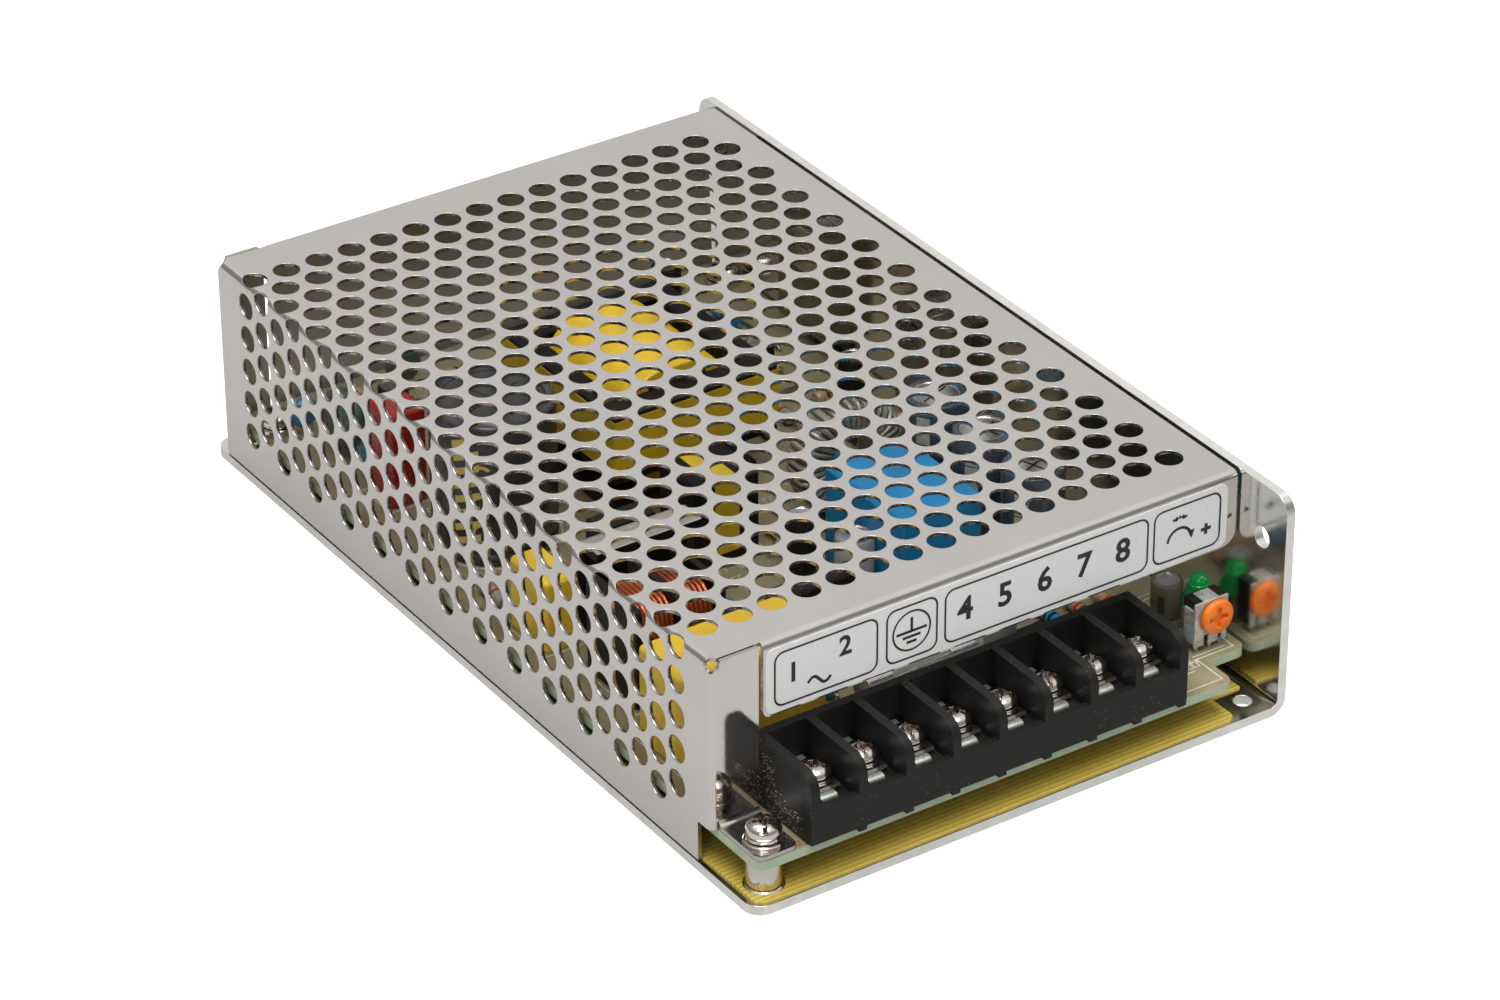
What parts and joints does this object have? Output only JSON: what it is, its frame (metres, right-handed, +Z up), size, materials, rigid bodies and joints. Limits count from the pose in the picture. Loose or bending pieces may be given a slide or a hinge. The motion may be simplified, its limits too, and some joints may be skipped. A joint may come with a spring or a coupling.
{
  "type": "mesh case switching power supply",
  "caption": "Open-frame mains power supply in a perforated folded metal case with a barrier terminal block, trimmer and indicator lamp.",
  "frame": {"origin": "middle of the underside of the base plate", "axes": "+Z up out of the cover, +Y from the terminals to the rear, +X towards the plain aluminium wall"},
  "size_m": [0.097, 0.159, 0.038],
  "materials": {
    "aluminium_sheet": "brushed",
    "plated_steel": "bright plated",
    "insulating_film": "clear amber",
    "board_laminate": "satin",
    "plated_screw": "bright plated",
    "black_moulding": "satin",
    "plated_contact": "bright plated",
    "label_film": "satin",
    "trimmer_housing": "satin",
    "trimmer_orange": "satin",
    "green_lens": "clear",
    "ferrite": "matt",
    "yellow_tape": "satin",
    "yellow_box": "satin",
    "blue_box": "satin",
    "red_box": "satin",
    "black_sleeve": "satin",
    "can_aluminium": "satin",
    "copper_wire": "enamelled",
    "blue_disc": "satin",
    "fuse_glass": "clear"
  },
  "bodies": {
    "supply": {"chassis": "aluminium_sheet", "cover": "plated_steel", "insulating_sheet": "insulating_film", "circuit_board": "board_laminate", "tab_screw": "plated_screw", "cover_side_screw": "plated_screw", "terminal_block": "black_moulding", "terminal_contacts": "plated_contact", "front_label": "label_film", "trimmer_body": "trimmer_housing", "indicator_lamp": "green_lens", "transformer_core": "ferrite", "transformer_winding": "yellow_tape", "line_capacitor": "yellow_box", "blue_capacitor": "blue_box", "film_capacitor": "red_box", "yellow_capacitor": "yellow_box", "drive_transformer": "ferrite", "bridge_rectifier": "black_moulding", "control_chip": "black_moulding", "main_capacitor": "black_sleeve", "supply_capacitor": "black_sleeve", "lamp_capacitor": "can_aluminium", "choke_former": "black_moulding", "choke_windings": "copper_wire", "disc_capacitors": "blue_disc", "primary_heatsink": "aluminium_sheet", "power_transistor": "black_moulding", "wall_rectifier_1": "black_moulding", "wall_rectifier_2": "black_moulding", "output_inductor": "copper_wire", "line_fuse": "fuse_glass", "standoff_1": "plated_screw", "standoff_2": "plated_screw", "standoff_3": "plated_screw", "standoff_4": "plated_screw", "board_screw_1": "plated_screw", "output_capacitor_1": "black_sleeve", "board_screw_2": "plated_screw", "output_capacitor_2": "black_sleeve", "board_screw_3": "plated_screw", "output_capacitor_3": "black_sleeve"},
    "trimmer_rotor": {"trimmer_rotor": "trimmer_orange"},
    "terminal_screw_1": {"terminal_screw_1": "plated_screw"},
    "terminal_screw_2": {"terminal_screw_2": "plated_screw"},
    "terminal_screw_3": {"terminal_screw_3": "plated_screw"},
    "terminal_screw_4": {"terminal_screw_4": "plated_screw"},
    "terminal_screw_5": {"terminal_screw_5": "plated_screw"},
    "terminal_screw_6": {"terminal_screw_6": "plated_screw"},
    "terminal_screw_7": {"terminal_screw_7": "plated_screw"},
    "terminal_screw_8": {"terminal_screw_8": "plated_screw"}
  },
  "joints": [
    {"name": "trimmer_turn", "type": "hinge", "parent": "supply", "child": "trimmer_rotor", "pos_m": [0.0422, -0.07, 0.0143], "axis": [0, -1, 0], "range_deg": [-120, 120]},
    {"name": "terminal_screw_lift_1", "type": "slide", "parent": "supply", "child": "terminal_screw_1", "axis": [0, 0, 1], "range_m": [0, 0.0022]},
    {"name": "terminal_screw_lift_2", "type": "slide", "parent": "supply", "child": "terminal_screw_2", "axis": [0, 0, 1], "range_m": [0, 0.0022]},
    {"name": "terminal_screw_lift_3", "type": "slide", "parent": "supply", "child": "terminal_screw_3", "axis": [0, 0, 1], "range_m": [0, 0.0022]},
    {"name": "terminal_screw_lift_4", "type": "slide", "parent": "supply", "child": "terminal_screw_4", "axis": [0, 0, 1], "range_m": [0, 0.0022]},
    {"name": "terminal_screw_lift_5", "type": "slide", "parent": "supply", "child": "terminal_screw_5", "axis": [0, 0, 1], "range_m": [0, 0.0022]},
    {"name": "terminal_screw_lift_6", "type": "slide", "parent": "supply", "child": "terminal_screw_6", "axis": [0, 0, 1], "range_m": [0, 0.0022]},
    {"name": "terminal_screw_lift_7", "type": "slide", "parent": "supply", "child": "terminal_screw_7", "axis": [0, 0, 1], "range_m": [0, 0.0022]},
    {"name": "terminal_screw_lift_8", "type": "slide", "parent": "supply", "child": "terminal_screw_8", "axis": [0, 0, 1], "range_m": [0, 0.0022]}
  ]
}
